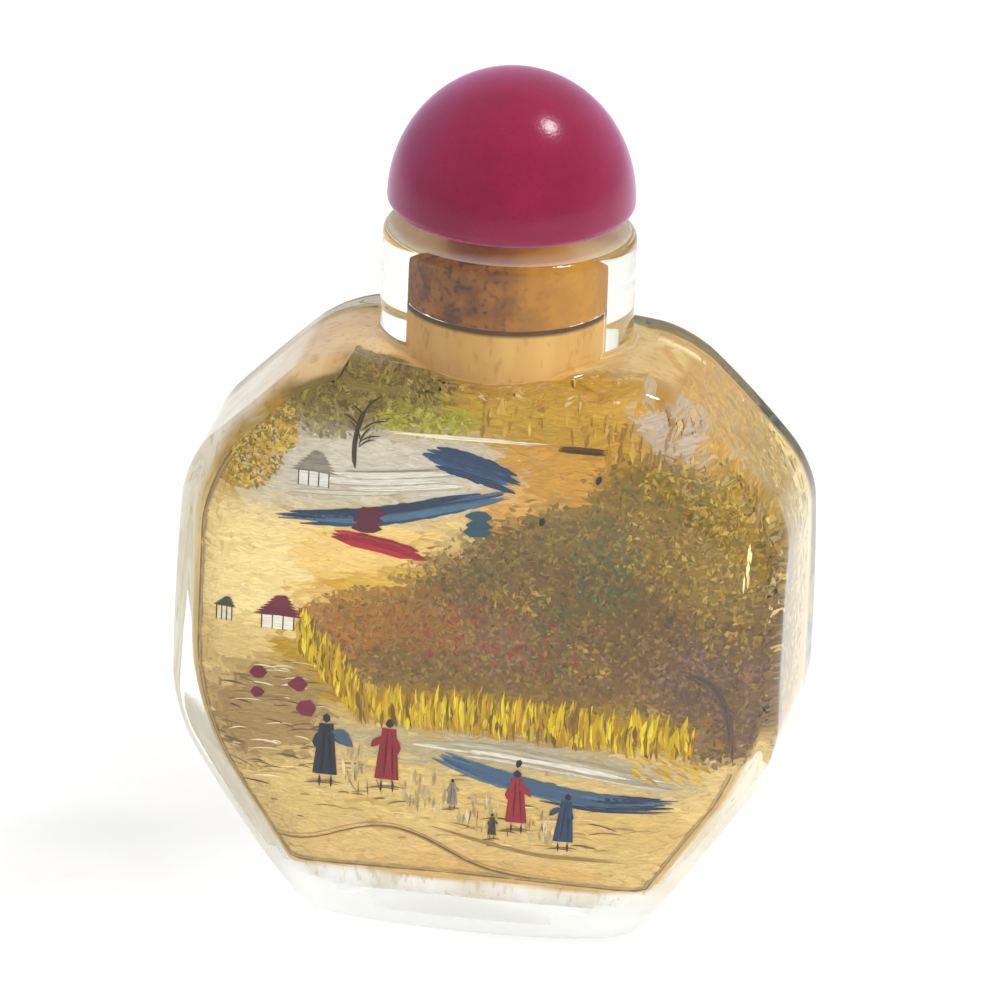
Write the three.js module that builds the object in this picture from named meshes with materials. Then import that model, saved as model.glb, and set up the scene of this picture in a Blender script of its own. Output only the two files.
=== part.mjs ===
// A small flattened glass bottle with an octagonal outline, a hollow body and a thick round neck,
// closed by a domed stopper that carries a cork. Millimetres, +Z up, the front face towards -Y,
// the foot on z = 0 and the neck's axis on the Z axis.
import * as THREE from "three";
import { ParametricGeometry } from "three/addons/geometries/ParametricGeometry.js";
import { mergeVertices } from "three/addons/utils/BufferGeometryUtils.js";

// Body: an octagon seen from the front, whose two faces swell towards the middle.
const bodyWidth = 52;
const bodyHeight = 50.3;
const footWidth = 28.2;
const crownWidth = 29.8;
const lowerCorner = 17.4;
const upperCorner = 39.3;
const bodyDepth = 24;
const swellRadius = 31.5;
const swellPower = 6;
const edgeRound = 1.2;
const cornerRound = 2.2;
const footRound = 1.1;

// Walls between the outside and the hollow.
const floorWall = 3.1;
const lowerWall = 1.9;
const sideWall = 2;
const upperWall = 2;
const crownWall = 2.2;
const faceWall = 2.2;
const hollowRound = 2.4;
const hollowCornerRound = 3.4;

// Neck: a thick tube on top of the body, with a rounded lip and a narrow bore.
const neckDiameter = 21.5;
const neckHeight = 10.2;
const neckRoot = 0.8;
const neckBlend = 0.9;
const lipRound = 1;
const boreDiameter = 10.8;
const boreRound = 0.4;

// Stopper: a dome fixed on a cork, which stands a little proud of the lip.
const domeDiameter = 21;
const domeRestDiameter = 14;
const domeWidestAt = 1.6;
const domeHeight = 12.8;
const corkDiameter = 10.7;
const corkAboveLip = 0.8;
const corkBelowLip = 7.5;
const corkChamfer = 0.5;

const ringPoints = 40;
const facetShare = 0.2;
const neckTop = bodyHeight + neckHeight;

// Values from one number to another, without the last one.
function steps(from, to, count) {
  return Array.from({ length: count }, (_, i) => from + ((to - from) * i) / count);
}

// The larger of two numbers, with a rounded change-over of the given width.
function smoothMax(a, b, width) {
  const overlap = Math.max(width - Math.abs(a - b), 0);
  return Math.max(a, b) + (overlap * overlap) / (4 * width);
}

// How near a point of the front view is to one straight edge of the octagon, past a wall's thickness:
// 1 on the edge, falling to 0 at the distance over which its corners are rounded.
function edge(x, z, normalX, normalZ, wall, round) {
  const length = Math.hypot(normalX, normalZ);
  return (px, pz) => {
    const inside = ((x - px) * normalX + (z - pz) * normalZ) / length - wall;
    return Math.max(1 - inside / round, 0);
  };
}

// One octagonal pillow: its half depth at a point of the front view, and its half width at a height.
function pillow(walls, face, round, corner) {
  const lowerRun = (footWidth - bodyWidth) / 2;
  const upperRise = bodyHeight - upperCorner;
  const upperRun = (bodyWidth - crownWidth) / 2;
  const edges = [
    edge(0, 0, 0, -1, walls.floor, footRound),
    edge(footWidth / 2, 0, lowerCorner, lowerRun, walls.lower, corner),
    edge(bodyWidth / 2, 0, 1, 0, walls.side, corner),
    edge(crownWidth / 2, bodyHeight, upperRise, upperRun, walls.upper, corner),
    edge(0, bodyHeight, 0, 1, walls.crown, corner),
  ];
  const nearEdge = (x, z) => Math.hypot(...edges.map((near) => near(x, z)));

  function halfDepth(x, z) {
    const reach = Math.hypot(x, z - bodyHeight / 2) / swellRadius;
    const swell = (bodyDepth / 2) * Math.sqrt(1 - reach ** swellPower);
    const inset = Math.max(round - corner * (1 - nearEdge(Math.abs(x), z)), 0);
    const drop = round - Math.sqrt(Math.max(round ** 2 - inset ** 2, 0));
    return swell - face - drop;
  }

  function halfWidth(z) {
    let inner = 0;
    let outer = bodyWidth / 2;
    for (let i = 0; i < 40; i += 1) {
      const middle = (inner + outer) / 2;
      if (nearEdge(middle, z) <= 1) {
        inner = middle;
      } else {
        outer = middle;
      }
    }
    return inner;
  }

  return { halfDepth, halfWidth };
}

// Polar points of a level section of a pillow. Near the top it is never closer to the axis than
// neckReach, so the neck or the bore runs out into its faces.
function sectionRing(shape, z, neckReach) {
  const reach = shape.halfWidth(z);
  const leastRadius = z > bodyHeight / 2 ? neckReach : 0;
  const ring = [];
  for (let i = 0; i < ringPoints; i += 1) {
    const turn = (2 * Math.PI * i) / ringPoints;
    const quarter = Math.asin(Math.abs(Math.sin(turn))) / (Math.PI / 2);
    const along = Math.max(quarter - facetShare, 0) / (1 - facetShare);
    const x = reach * Math.cos((along * Math.PI) / 2);
    const y = shape.halfDepth(x, z) * Math.min(quarter / facetShare, 1);
    const angle = Math.atan2(y * Math.sign(Math.sin(turn)), x * Math.sign(Math.cos(turn)));
    ring.push({ radius: smoothMax(Math.hypot(x, y), leastRadius, neckBlend), angle, z });
  }
  return ring;
}

// Polar points of a circle, in the same order as those of a section.
function circleRing(radius, z) {
  return Array.from({ length: ringPoints }, (_, i) => {
    const turn = (2 * Math.PI * i) / ringPoints;
    return { radius, angle: turn, z };
  });
}

// A ring part of the way from one ring to another, with its rise on a curve of its own.
function between(a, b, share, rise) {
  return a.map((from, i) => {
    const to = b[i];
    const swing = Math.atan2(Math.sin(to.angle - from.angle), Math.cos(to.angle - from.angle));
    return {
      radius: THREE.MathUtils.lerp(from.radius, to.radius, share),
      angle: from.angle + swing * share,
      z: THREE.MathUtils.lerp(from.z, to.z, rise),
    };
  });
}

// A closed solid through a stack of rings, whose first and last rings close to a point.
function skin(rings) {
  const first = circleRing(0, rings[0][0].z);
  const last = circleRing(0, rings.at(-1)[0].z);
  const stack = [first, ...rings, last];
  const geometry = new ParametricGeometry(
    (u, v, target) => {
      const ring = stack[Math.round(v * (stack.length - 1))];
      const point = ring[Math.round(u * ringPoints) % ringPoints];
      target.set(point.radius * Math.cos(point.angle), point.radius * Math.sin(point.angle), point.z);
    },
    ringPoints,
    stack.length - 1,
  );
  geometry.deleteAttribute("normal");
  geometry.deleteAttribute("uv");
  const solid = mergeVertices(geometry, 1e-4);
  solid.computeVertexNormals();
  return solid;
}

// Heights at which a pillow is cut into level sections, closer together at its edges and corners.
function sectionLevels(bottom, top, round, corner, plainSteps) {
  const edgeTurns = [0, 0.13, 0.5, 1];
  const footEdge = (round * footRound) / corner;
  return [
    ...edgeTurns.map((share) => bottom + footEdge * share),
    ...steps(bottom + footEdge, lowerCorner - 1.4 * corner, plainSteps).slice(1),
    ...steps(lowerCorner - 1.4 * corner, lowerCorner + 1.6 * corner, 5),
    ...steps(lowerCorner + 1.6 * corner, upperCorner - 1.4 * corner, plainSteps),
    ...steps(upperCorner - 1.4 * corner, upperCorner + corner, 5),
    ...steps(upperCorner + corner, top - round, plainSteps - 1),
    ...edgeTurns.map((share) => top - round * share).reverse(),
  ];
}

function bottleRings() {
  const noWalls = { floor: 0, lower: 0, side: 0, upper: 0, crown: 0 };
  const walls = { floor: floorWall, lower: lowerWall, side: sideWall, upper: upperWall, crown: crownWall };
  const outside = pillow(noWalls, 0, edgeRound, cornerRound);
  const hollow = pillow(walls, faceWall, hollowRound, hollowCornerRound);
  const hollowTop = bodyHeight - crownWall;
  const neckRadius = neckDiameter / 2;
  const boreRadius = boreDiameter / 2;

  const body = sectionLevels(0, bodyHeight, edgeRound, cornerRound, 4)
    .map((z) => sectionRing(outside, z, neckRadius));
  const root = circleRing(neckRadius, bodyHeight + neckRoot);
  const crown = [0.35, 0.7, 0.9].map((share) => between(body.at(-1), root, share, share ** 5));
  const lip = [0, 0.25, 0.5, 0.75, 1].map((share) => {
    const turn = (share * Math.PI) / 2;
    return circleRing(neckRadius - lipRound * (1 - Math.cos(turn)), neckTop - lipRound * (1 - Math.sin(turn)));
  });
  const mouth = [
    circleRing(boreRadius + boreRound, neckTop),
    circleRing(boreRadius, neckTop - boreRound),
  ];
  const throat = circleRing(boreRadius, hollowTop + boreRound);
  const inside = sectionLevels(floorWall, hollowTop, hollowRound, hollowCornerRound, 3)
    .map((z) => sectionRing(hollow, z, boreRadius + boreRound))
    .reverse();
  const ceiling = [0.1, 0.5].map((share) => between(throat, inside[0], share, Math.min(share * 6, 1)));
  return [...body, ...crown, root, ...lip, ...mouth, throat, ...ceiling, ...inside];
}

function lathe(outline) {
  const geometry = new THREE.LatheGeometry(outline.map(([r, z]) => new THREE.Vector2(r, z)), ringPoints);
  geometry.rotateX(Math.PI / 2);
  geometry.deleteAttribute("normal");
  geometry.deleteAttribute("uv");
  const solid = mergeVertices(geometry, 1e-4);
  solid.computeVertexNormals();
  return solid;
}

// The dome stands on a flat ring, rolls out to its widest level and closes as half an ellipse.
function domeOutline() {
  const widest = domeDiameter / 2;
  const rest = domeRestDiameter / 2;
  const outline = [[0, 0]];
  for (const share of [0, 1 / 3, 2 / 3]) {
    const turn = (share * Math.PI) / 2;
    outline.push([rest + (widest - rest) * Math.sin(turn), domeWidestAt * (1 - Math.cos(turn))]);
  }
  const arcs = 12;
  for (let i = 0; i < arcs; i += 1) {
    const turn = (i * Math.PI) / 2 / arcs;
    outline.push([widest * Math.cos(turn), domeWidestAt + (domeHeight - domeWidestAt) * Math.sin(turn)]);
  }
  outline.push([0, domeHeight]);
  return outline;
}

function corkOutline() {
  const radius = corkDiameter / 2;
  return [
    [0, -corkBelowLip],
    [radius - corkChamfer, -corkBelowLip],
    [radius, corkChamfer - corkBelowLip],
    [radius, corkAboveLip],
    [0, corkAboveLip],
  ];
}

function piece(name, geometry, color, roughness) {
  const material = new THREE.MeshStandardMaterial({ color, roughness, metalness: 0 });
  const mesh = new THREE.Mesh(geometry, material);
  mesh.name = name;
  return mesh;
}

const bottle = piece("bottle", skin(bottleRings()), "#d9c9a0", 0.08);
bottle.material.transparent = true;
bottle.material.opacity = 0.35;

const dome = piece("stopper_dome", lathe(domeOutline()), "#a3123f", 0.3);
dome.position.z = corkAboveLip;
const cork = piece("stopper_cork", lathe(corkOutline()), "#a5773c", 0.85);
const stopper = new THREE.Group();
stopper.add(dome, cork);
stopper.position.z = neckTop;

const flask = new THREE.Group();
flask.add(bottle, stopper);

export default flask;
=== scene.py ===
import math

import bpy
import numpy as np
from mathutils import Matrix, Vector


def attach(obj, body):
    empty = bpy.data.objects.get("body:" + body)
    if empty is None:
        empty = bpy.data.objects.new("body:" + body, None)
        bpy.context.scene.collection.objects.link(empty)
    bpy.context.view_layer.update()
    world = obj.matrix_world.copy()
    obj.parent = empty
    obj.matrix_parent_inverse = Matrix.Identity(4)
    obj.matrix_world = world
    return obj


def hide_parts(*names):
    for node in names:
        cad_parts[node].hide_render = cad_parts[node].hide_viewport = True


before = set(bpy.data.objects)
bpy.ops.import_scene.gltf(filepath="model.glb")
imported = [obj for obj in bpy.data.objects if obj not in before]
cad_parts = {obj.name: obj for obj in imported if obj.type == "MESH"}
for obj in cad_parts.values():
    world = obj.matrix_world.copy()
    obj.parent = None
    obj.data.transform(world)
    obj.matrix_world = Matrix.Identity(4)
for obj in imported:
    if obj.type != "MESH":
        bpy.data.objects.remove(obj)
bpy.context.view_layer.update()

# A small octagonal glass bottle, painted on the inside of its hollow, with a ruby dome on a cork.
# Lengths in the dictionaries are millimetres; addMesh turns them into metres.
print("frame loaded:", sorted(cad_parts))

scene = bpy.context.scene
scene.view_settings.view_transform = "Standard"
bounces = 24  # light that is thrown to and fro inside the thick foot still gets out
for limit in ("max_bounces", "glossy_bounces", "transmission_bounces", "transparent_max_bounces"):
    setattr(scene.cycles, limit, bounces)


# meshes from arrays

def addMesh(name, points, faces, material, uv=None, tint=None):
    # points: (n, 3) in mm; faces: (m, 4) rows; uv and tint: one row for each point
    mesh = bpy.data.meshes.new(name)
    points = np.asarray(points, float) * 0.001
    corners = np.asarray(faces, np.int32)
    mesh.vertices.add(len(points))
    mesh.vertices.foreach_set("co", points.astype(np.float32).ravel())
    mesh.loops.add(corners.size)
    mesh.loops.foreach_set("vertex_index", corners.ravel())
    mesh.polygons.add(len(corners))
    starts = np.arange(len(corners), dtype=np.int32) * corners.shape[1]
    mesh.polygons.foreach_set("loop_start", starts)
    mesh.update(calc_edges=True)
    if uv is not None:
        layer = mesh.uv_layers.new(name="stroke")
        layer.uv.foreach_set("vector", np.asarray(uv, np.float32)[corners.ravel()].ravel())
    if tint is not None:
        layer = mesh.color_attributes.new(name="paint", type="FLOAT_COLOR", domain="POINT")
        layer.data.foreach_set("color", np.c_[tint, np.ones(len(tint))].astype(np.float32).ravel())
    mesh.polygons.foreach_set("use_smooth", np.ones(len(corners), bool))
    mesh.validate()
    mesh.materials.append(material)
    piece = bpy.data.objects.new(name, mesh)
    scene.collection.objects.link(piece)
    return piece


def gridFaces(rows, columns):
    # quads of a grid whose columns close round
    row, column = np.meshgrid(np.arange(rows - 1) * columns, np.arange(columns), indexing="ij")
    after = (column + 1) % columns
    quads = [row + column, row + after, row + columns + after, row + columns + column]
    return np.stack(quads, -1).reshape(-1, 4)


def closedSkin(name, rings, material, tint=None):
    # rings: (rows, columns, 3), from one pole to the other; a small fan of quads closes each end
    rows, columns = rings.shape[:2]
    poles = [rings[0].mean(0)[None], rings[-1].mean(0)[None]]
    points = np.concatenate([rings.reshape(-1, 3), *poles])
    if tint is not None:
        tint = np.concatenate([tint, tint[:1], tint[-1:]])
    around = np.arange(0, columns, 2)
    after, last = (around + 2) % columns, (rows - 1) * columns
    pole = np.full(len(around), rows * columns)
    first = np.stack([pole, after, around + 1, around], -1)
    end = np.stack([pole + 1, last + around, last + around + 1, last + after], -1)
    faces = np.concatenate([gridFaces(rows, columns), first, end])
    return addMesh(name, points, faces, material, tint=tint)


def eased(start, end, count, fromStart=True):
    # heights that crowd together at one end, as the points of a quarter circle do
    turn = np.linspace(0, math.pi / 2, count, endpoint=False)
    share = 1 - np.cos(turn) if fromStart else np.sin(turn)
    return start + (end - start) * share


def fade(value, start, end):
    # 0 up to the start, 1 from the end on
    return np.clip((value - start) / (end - start), 0, 1)


# the bottle's form

bottle = {
    "bodyWidth": 52, "bodyHeight": 50.3, "footWidth": 28.2, "crownWidth": 29.8,
    "lowerCorner": 17.4, "upperCorner": 39.3,
    "bodyDepth": 24, "swellRadius": 31.5, "swellPower": 6,
    "edgeRound": 1.2, "cornerRound": 2.2, "footRound": 1.1,
    "floorWall": 3.1, "lowerWall": 1.9, "sideWall": 2, "upperWall": 2, "crownWall": 2.2,
    "faceWall": 2.2, "hollowRound": 2.4, "hollowCornerRound": 3.4,
    "neckRadius": 10.75, "neckTop": 60.5, "neckRoot": 0.8, "neckBlend": 0.9, "lipRound": 1,
    "boreRadius": 5.4, "boreRound": 0.4,
    "around": 320, "sideShare": 0.2,  # points in a ring; the share of each quarter on a flat side
}
# Level sections: below, through and above the bands about the two side corners, and their steps.
outerBands, outerSteps = [(-3, 3.4), (-3, 2.4)], (12, 16, 14, 14, 14)
hollowBands, hollowSteps = [(-4, 5), (-4, 3.4)], (24, 18, 12, 16, 6)


def nearEdge(x, z, thickness, grow=0.0):
    # 1 on the octagon's outline, falling to 0 over the rounding of its corners
    b = bottle
    corner = b["hollowCornerRound"] if thickness else b["cornerRound"]
    run, rise = (b["bodyWidth"] - b["footWidth"]) / 2, b["bodyHeight"] - b["upperCorner"]
    crownRun = (b["bodyWidth"] - b["crownWidth"]) / 2
    edges = [  # a point on the edge, its outward normal, the wall and the rounding
        (0, 0, 0, -1, b["floorWall"], b["footRound"]),
        (b["footWidth"] / 2, 0, b["lowerCorner"], -run, b["lowerWall"], corner),
        (b["bodyWidth"] / 2, 0, 1, 0, b["sideWall"], corner),
        (b["crownWidth"] / 2, b["bodyHeight"], rise, crownRun, b["upperWall"], corner),
        (0, b["bodyHeight"], 0, 1, b["crownWall"], corner),
    ]
    total = np.zeros(np.broadcast(x, z).shape)
    for edgeX, edgeZ, normalX, normalZ, wall, spread in edges:
        inside = (edgeX - abs(x)) * normalX + (edgeZ - z) * normalZ
        inside = inside / math.hypot(normalX, normalZ)
        total += np.maximum(1 - (inside - wall * thickness + grow) / spread, 0) ** 2
    return np.sqrt(total)


def pillow(x, z, thickness, grow=0.0):
    # Half depth at a point of the front view: a swollen disc, less the wall, less the drop of a
    # quarter circle near the octagon's edges. thickness: 0 outside, 1 hollow; grow pushes it out.
    b = bottle
    corner = b["hollowCornerRound"] if thickness else b["cornerRound"]
    rounding = b["hollowRound"] if thickness else b["edgeRound"]
    reach = np.hypot(x, z - b["bodyHeight"] / 2) / b["swellRadius"]
    swell = b["bodyDepth"] / 2 * np.sqrt(np.maximum(1 - reach ** b["swellPower"], 0))
    inset = np.clip(rounding - corner * (1 - nearEdge(x, z, thickness, grow)), 0, rounding)
    drop = rounding - np.sqrt(rounding ** 2 - inset ** 2)
    return swell - b["faceWall"] * thickness + grow - drop


def halfWidth(z, thickness, grow=0.0):
    # the outline's half width at a height, by halving the interval
    inner, outer = np.zeros(np.shape(z)), np.full(np.shape(z), bottle["bodyWidth"] / 2)
    for _ in range(30):
        middle = (inner + outer) / 2
        isIn = nearEdge(middle, z, thickness, grow) <= 1 + 1e-9
        inner, outer = np.where(isIn, middle, inner), np.where(isIn, outer, middle)
    return inner


def smoothMax(a, b, width):
    return np.maximum(a, b) + np.maximum(width - abs(a - b), 0) ** 2 / (4 * width)


def ringTurns(count):
    return np.linspace(0, 2 * math.pi, count, endpoint=False)


def quarterShares():
    # how far each point of a ring is from the X axis, 0, to the Y axis, 1
    return np.arcsin(abs(np.sin(ringTurns(bottle["around"])))) / (math.pi / 2)


def sectionRings(z, thickness, leastRadius, grow=0.0):
    # Level sections: part of each quarter turn runs up a flat side, the rest across the face.
    # z: (rows, 1); in the upper half no point is nearer the axis than leastRadius.
    turn, quarter, sideShare = ringTurns(bottle["around"]), quarterShares(), bottle["sideShare"]
    z = np.broadcast_to(z, (len(z), len(turn)))
    along = np.maximum(quarter - sideShare, 0) / (1 - sideShare)
    x = halfWidth(z, thickness, grow) * np.cos(along * math.pi / 2)
    y = pillow(x, z, thickness, grow) * np.minimum(quarter / sideShare, 1)
    angle = np.arctan2(y * np.sign(np.sin(turn)), x * np.sign(np.cos(turn)))
    radius = np.hypot(x, y)
    held = smoothMax(radius, leastRadius, bottle["neckBlend"])
    radius = np.where(z > bottle["bodyHeight"] / 2, held, radius)
    return np.stack([radius * np.cos(angle), radius * np.sin(angle), z], -1)


def circleRings(radius, z, count=bottle["around"]):
    # one circle for each radius and height
    turn = ringTurns(count)[None, :]
    radius, z = np.reshape(radius, (-1, 1)), np.reshape(z, (-1, 1))
    return np.stack(np.broadcast_arrays(radius * np.cos(turn), radius * np.sin(turn), z), -1)


def blendRings(first, last, share, rise):
    # rings part of the way from one ring to another, in radius, angle and height
    angle = np.arctan2(first[:, 1], first[:, 0])
    swing = np.arctan2(last[:, 1], last[:, 0]) - angle
    swing = np.arctan2(np.sin(swing), np.cos(swing))
    share, rise = np.reshape(share, (-1, 1)), np.reshape(rise, (-1, 1))
    start, end = np.hypot(*first[:, :2].T), np.hypot(*last[:, :2].T)
    radius, angle = start + (end - start) * share, angle + swing * share
    z = first[:, 2] + (last[:, 2] - first[:, 2]) * rise
    return np.stack([radius * np.cos(angle), radius * np.sin(angle), z], -1)


def bandedLevels(bottom, top, bands, steps):
    # even heights that are closer together in the bands about the side corners
    low, high = bottle["lowerCorner"], bottle["upperCorner"]
    (lowStart, lowEnd), (highStart, highEnd) = bands
    stops = [bottom, low + lowStart, low + lowEnd, high + highStart, high + highEnd, top]
    runs = [np.linspace(start, end, count, endpoint=False)
            for start, end, count in zip(stops, stops[1:], steps)]
    return np.concatenate(runs)


def outerLevels():
    b = bottle
    foot = b["edgeRound"] * b["footRound"] / b["cornerRound"]
    top, edge = b["bodyHeight"], b["bodyHeight"] - b["edgeRound"]
    sides = bandedLevels(foot, edge, outerBands, outerSteps)
    levels = [eased(0, foot, 7), sides, eased(edge, top, 18, False), [top]]
    return np.concatenate(levels)[:, None]


def hollowLevels(bottom, top, footSteps):
    b = bottle
    foot = bottom + b["hollowRound"] * b["footRound"] / b["hollowCornerRound"]
    edge = top - b["hollowRound"]
    sides = bandedLevels(foot, edge, hollowBands, hollowSteps)
    levels = [eased(bottom, foot, footSteps), sides, eased(edge, top, 10, False), [top]]
    return np.concatenate(levels)[:, None]


def hollowCeiling(top, rim, grow=0.0):
    # from the bore's lower end out to the hollow's highest section
    share = np.array([0.0, 0.02, 0.05, 0.1, 0.17, 0.3, 0.5, 0.75])
    rise = np.sin(np.minimum(share * 6, 1) * math.pi / 2)
    throat = circleRings([bottle["boreRadius"] + grow], [top + bottle["boreRound"]])[0]
    return blendRings(throat, rim, share, rise)


def bottleRings():
    # up the outside, over the lip, down the bore and round the hollow to the middle of its floor
    b = bottle
    neckRadius, boreRadius, boreRound = b["neckRadius"], b["boreRadius"], b["boreRound"]
    root, hollowTop = b["bodyHeight"] + b["neckRoot"], b["bodyHeight"] - b["crownWall"]
    neckTop, lipStart = b["neckTop"], b["neckTop"] - b["lipRound"]
    body = sectionRings(outerLevels(), 0, neckRadius)
    share = np.linspace(0, 1, 14, endpoint=False)[1:]
    crown = blendRings(body[-1], circleRings([neckRadius], [root])[0], share, share ** 5)
    neck = circleRings(np.full(12, neckRadius), np.linspace(root, lipStart, 12, endpoint=False))
    turn = np.linspace(0, math.pi / 2, 10)
    lip = circleRings(neckRadius - b["lipRound"] * (1 - np.cos(turn)),
                      lipStart + b["lipRound"] * np.sin(turn))
    turn = np.linspace(0, math.pi / 2, 6)
    mouth = circleRings(boreRadius + boreRound * (1 - np.sin(turn)),
                        neckTop - boreRound * (1 - np.cos(turn)))
    boreLevels = np.linspace(neckTop - boreRound, hollowTop + boreRound, 12)[1:-1]
    bore = circleRings(np.full(10, boreRadius), boreLevels)
    levels = hollowLevels(b["floorWall"], hollowTop, 8)
    hollow = sectionRings(levels, 1, boreRadius + boreRound)[::-1]
    ceiling = hollowCeiling(hollowTop, hollow[0])
    return np.concatenate([body, crown, neck, lip, mouth, bore, ceiling, hollow])


# materials

def newMaterial(name):
    material = bpy.data.materials.new(name)
    material.use_nodes = True
    return material, material.node_tree, material.node_tree.nodes["Principled BSDF"]


def setInputs(tree, node, values):
    # values: an input's name or number, and the value it takes or the socket it is joined to
    for key, value in values.items():
        if isinstance(value, bpy.types.NodeSocket):
            tree.links.new(value, node.inputs[key])
        else:
            node.inputs[key].default_value = value


def addNode(tree, kind, values, **settings):
    node = tree.nodes.new("ShaderNode" + kind)
    for key, value in settings.items():
        setattr(node, key, value)
    setInputs(tree, node, values)
    return node


def objectSpace(tree):
    return addNode(tree, "TexCoord", {}).outputs["Object"]


def linear(code):
    # a colour written as red, green and blue in hexadecimal, as light
    values = np.array([int(code[i:i + 2], 16) / 255 for i in (0, 2, 4)])
    return tuple(np.where(values <= 0.04045, values / 12.92, ((values + 0.055) / 1.055) ** 2.4))


def buildMottle():
    # two colours by soft clouds, then darker or lighter specks, as paint, cork and stone all have
    group = bpy.data.node_groups.new("mottle", "ShaderNodeTree")
    face = group.interface
    sockets = {"Vector": "Vector", "Cloud Size": "Float", "Speck Size": "Float",
               "Speck Amount": "Float", "Base": "Color", "Cloud": "Color", "Speck": "Color"}
    for name, kind in sockets.items():
        face.new_socket(name, in_out="INPUT", socket_type="NodeSocket" + kind)
    for name, kind in {"Color": "Color", "Height": "Float"}.items():
        face.new_socket(name, in_out="OUTPUT", socket_type="NodeSocket" + kind)
    given, result = group.nodes.new("NodeGroupInput").outputs, group.nodes.new("NodeGroupOutput")

    def noise(size, detail):
        # noise whose features are about size millimetres across
        scale = addNode(group, "Math", {0: 1000.0, 1: size}, operation="DIVIDE").outputs[0]
        values = {"Vector": given["Vector"], "Scale": scale, "Detail": detail}
        return addNode(group, "TexNoise", values).outputs["Fac"]

    def blend(first, second, field, low, high, amount):
        # the first colour where the field is under low; so much of the second where it is over high
        spread = addNode(group, "MapRange", {"Value": field, "From Min": low, "From Max": high})
        share = addNode(group, "Math", {0: spread.outputs[0], 1: amount},
                        operation="MULTIPLY", use_clamp=True)
        values = {"Factor": share.outputs[0], "A": first, "B": second}
        return addNode(group, "Mix", values, data_type="RGBA").outputs["Result"]

    cloudy, specky = noise(given["Cloud Size"], 3.0), noise(given["Speck Size"], 2.0)
    clouds = blend(given["Base"], given["Cloud"], cloudy, 0.36, 0.64, 1.0)
    speckled = blend(clouds, given["Speck"], specky, 0.56, 0.68, given["Speck Amount"])
    setInputs(group, result, {"Color": speckled, "Height": specky})
    return group


mottle = buildMottle()


def placeMottle(tree, where, look):
    # look: the group's inputs by name, with colours as codes
    values = {key: (*linear(value), 1) if isinstance(value, str) else value
              for key, value in look.items()}
    return addNode(tree, "Group", {"Vector": where, **values}, node_tree=mottle).outputs


def addBump(tree, height, shader, depth, strength=1.0):
    values = {"Distance": depth * 0.001, "Strength": strength, "Height": height}
    setInputs(tree, shader, {"Normal": addNode(tree, "Bump", values).outputs[0]})


# the glass

glassLook = {
    "colour": "fbfdf9", "ior": 1.5, "waveSize": 9.0, "waveDepth": 0.01,
    "smudgeScale": 220, "smudgeLow": 0.45, "smudgeHigh": 0.8,
    "through": (0.93, 0.94, 0.965, 1),  # what is left of the light for the paint and the table
}
glassFinishes = {  # lowest and highest roughness, and the share of light let through
    "clearGlass": (0, 0.035, 1.0), "groundGlass": (0.22, 0.34, 1.0),
    "frostedGlass": (0.4, 0.5, 0.45), "dullGlass": (0.3, 0.4, 0.75),
}
finishAreas = {  # mm, and the upward or downward share of a face's normal
    "hollowTop": 48.6, "lowTop": 17.2, "lowSlant": 0.3, "footTop": 2.5, "footSlant": 0.75,
    "lipLevel": 60.4, "lipSlant": 0.9,
}


def makeGlass(name):
    # Clear glass with slow waves in its surface, and smudges that go from its lowest to its highest
    # roughness. Light for the paint and the table passes straight through, a little dimmed.
    look, (low, high, clearness) = glassLook, glassFinishes[name]
    material, tree, shader = newMaterial(name)
    where = objectSpace(tree)
    waves, smudges = (
        addNode(tree, "TexNoise", {"Vector": where, "Scale": scale, "Detail": detail}).outputs["Fac"]
        for scale, detail in ((1000 / look["waveSize"], 1), (look["smudgeScale"], 4)))
    addBump(tree, waves, shader, look["waveDepth"])
    rough = addNode(tree, "MapRange", {
        "Value": smudges, "From Min": look["smudgeLow"], "From Max": look["smudgeHigh"],
        "To Min": low, "To Max": high})
    setInputs(tree, shader, {
        "Base Color": (*linear(look["colour"]), 1), "Transmission Weight": clearness,
        "IOR": look["ior"], "Roughness": rough.outputs[0]})
    path = addNode(tree, "LightPath", {}).outputs
    either = addNode(tree, "Math", {0: path["Is Shadow Ray"], 1: path["Is Diffuse Ray"]},
                     operation="MAXIMUM")
    through = addNode(tree, "BsdfTransparent", {"Color": look["through"]}).outputs[0]
    mix = addNode(tree, "MixShader", {0: either.outputs[0], 1: shader.outputs[0], 2: through})
    setInputs(tree, tree.nodes["Material Output"], {"Surface": mix.outputs[0]})
    return material


def markFinishes(piece):
    # The hollow's wall was ground before it was painted; the foot is frosted, and the lip and the
    # two lower sides are a little dull.
    faces, areas = piece.data.polygons, finishAreas
    middles, outwards = np.zeros(len(faces) * 3), np.zeros(len(faces) * 3)
    faces.foreach_get("center", middles)
    faces.foreach_get("normal", outwards)
    middles, outwards = middles.reshape(-1, 3) * 1000, outwards.reshape(-1, 3)
    level, upward = middles[:, 2], outwards[:, 2]
    facing = ((middles - [0, 0, 25]) * outwards).sum(1)
    isHollow = (facing < 0) & (level < areas["hollowTop"])
    isLow = (level < areas["lowTop"]) & (upward < -areas["lowSlant"])
    isFoot = isLow & ((upward < -areas["footSlant"]) | (level < areas["footTop"]))
    isLip = (level > areas["lipLevel"]) & (upward > areas["lipSlant"])
    finish = isHollow + 3 * (isLow | isLip) - isFoot
    faces.foreach_set("material_index", finish.astype(np.int32))


clearGlass, *otherGlass = [makeGlass(name) for name in glassFinishes]
glassPiece = closedSkin("glass_bottle", bottleRings(), clearGlass)
for finish in otherGlass:
    glassPiece.data.materials.append(finish)
markFinishes(glassPiece)
print("glass bottle:", len(glassPiece.data.polygons), "faces")


# the stopper

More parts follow.
